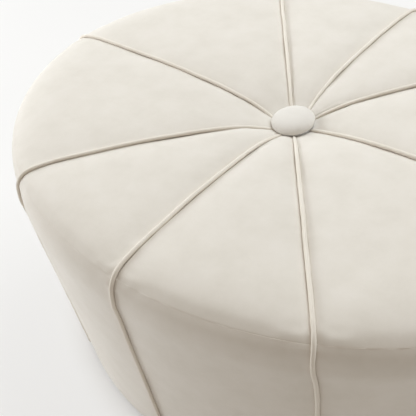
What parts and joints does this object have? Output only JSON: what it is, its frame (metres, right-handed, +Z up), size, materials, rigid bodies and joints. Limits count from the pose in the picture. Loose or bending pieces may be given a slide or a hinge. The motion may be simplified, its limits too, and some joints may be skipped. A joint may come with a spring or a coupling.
{
  "type": "ottoman coffee table",
  "caption": "oval padded ottoman table with piped radial seams, a covered centre button, a soft shoulder and a timber drum on low glides",
  "frame": {"origin": "on the floor under the middle of the oval", "axes": "+X along the long axis of the oval, +Y along the short axis, +Z up"},
  "size_m": [0.989, 0.804, 0.454],
  "materials": {
    "cover_cloth": "short soft velvet nap",
    "piping": "velvet over cord",
    "button_cloth": "velvet stretched over a cap",
    "button_metal": "pressed sheet",
    "twine": "waxed twine",
    "toggle": "moulded",
    "batting": "polyester batting",
    "foam": "open-cell foam",
    "plywood": "raw plywood",
    "softwood": "planed softwood",
    "hardboard": "smooth hardboard",
    "glide": "moulded",
    "dust_cloth": "black non-woven cloth",
    "screw_steel": "zinc plated"
  },
  "bodies": {
    "root": {"base_ring": "plywood", "base_screws": "screw_steel", "button_back": "button_metal", "button_cover": "button_cloth", "button_shell": "button_metal", "deck_board": "plywood", "deck_screws": "screw_steel", "dust_cover": "dust_cloth", "dust_cover_staples": "screw_steel", "glide_1": "glide", "glide_2": "glide", "glide_3": "glide", "glide_4": "glide", "glide_screws": "screw_steel", "post_1": "softwood", "post_2": "softwood", "post_3": "softwood", "post_4": "softwood", "post_5": "softwood", "post_6": "softwood", "post_7": "softwood", "post_8": "softwood", "rail_back": "softwood", "rail_front": "softwood", "rail_left": "softwood", "rail_right": "softwood", "seat_batting": "batting", "seat_foam": "foam", "side_foam": "foam", "side_gore_1": "cover_cloth", "side_gore_2": "cover_cloth", "side_gore_3": "cover_cloth", "side_gore_4": "cover_cloth", "side_gore_5": "cover_cloth", "side_gore_6": "cover_cloth", "side_gore_7": "cover_cloth", "side_gore_8": "cover_cloth", "skirt_panel_1": "hardboard", "skirt_panel_2": "hardboard", "skirt_panel_3": "hardboard", "skirt_panel_4": "hardboard", "top_gore_1": "cover_cloth", "top_gore_2": "cover_cloth", "top_gore_3": "cover_cloth", "top_gore_4": "cover_cloth", "top_gore_5": "cover_cloth", "top_gore_6": "cover_cloth", "top_gore_7": "cover_cloth", "top_gore_8": "cover_cloth", "tufting_twine": "twine", "twine_toggle": "toggle", "welt_1": "piping", "welt_2": "piping", "welt_3": "piping", "welt_4": "piping", "welt_5": "piping", "welt_6": "piping", "welt_7": "piping", "welt_8": "piping"}
  },
  "joints": []
}
